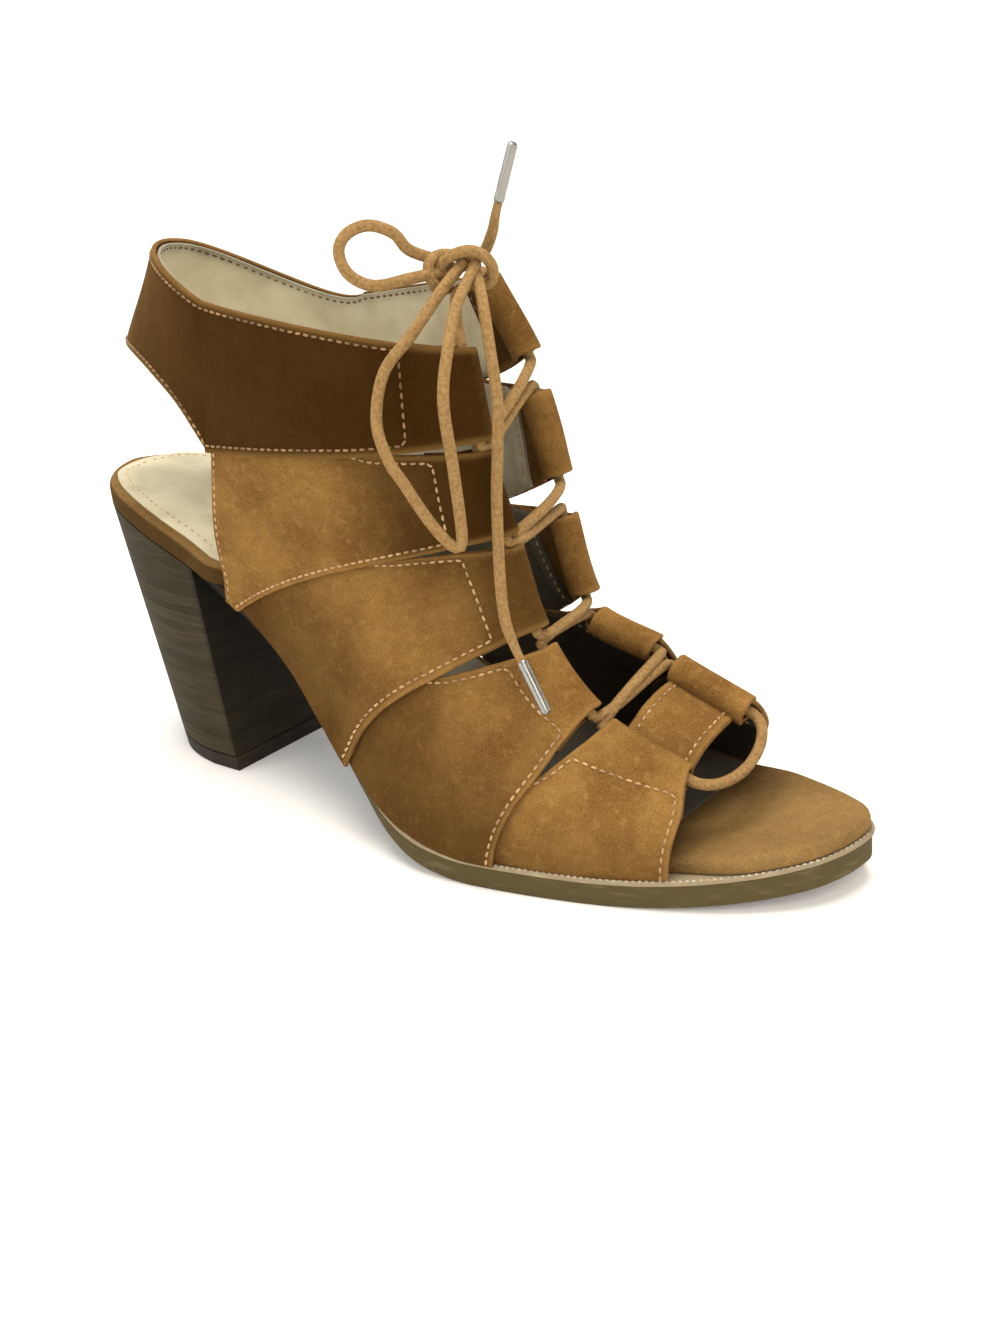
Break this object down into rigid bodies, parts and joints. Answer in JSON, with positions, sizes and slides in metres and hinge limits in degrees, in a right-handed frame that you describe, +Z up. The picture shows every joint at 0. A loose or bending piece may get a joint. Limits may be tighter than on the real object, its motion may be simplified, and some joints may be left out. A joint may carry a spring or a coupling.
{
  "type": "lace up heel",
  "caption": "Open-toe, open-back sandal with lapped suede straps, a lace through rolled loops tied in a bow, and a stacked block heel.",
  "frame": {"origin": "on the floor under the tread point of the forefoot, on the shoe's long line", "axes": "+X to the toe, +Y to the inner (medial) side of this right shoe, +Z up"},
  "size_m": [0.2315, 0.0834, 0.1615],
  "materials": {
    "suede": "napped suede",
    "footbed_suede": "napped suede",
    "sock_lining": "smooth lining",
    "rand": "matte",
    "outsole": "matte",
    "heel_stack": "stacked layers",
    "top_lift": "matte",
    "lace": "waxed cord",
    "aglet": "satin"
  },
  "bodies": {
    "root": {"upper": "suede", "footbed": "footbed_suede", "sock": "sock_lining", "rand": "rand", "outsole": "outsole", "heel_block": "heel_stack", "heel_tip": "top_lift", "lace_front": "lace", "lace_crossing_1": "lace", "lace_crossing_2": "lace", "lace_crossing_3": "lace", "lace_crossing_4": "lace", "lace_tie": "lace", "lace_knot": "lace", "lace_loop_small": "lace", "lace_loop_long": "lace", "lace_end_long": "lace", "lace_end_short": "lace", "aglet_long": "aglet", "aglet_short": "aglet"}
  },
  "joints": []
}
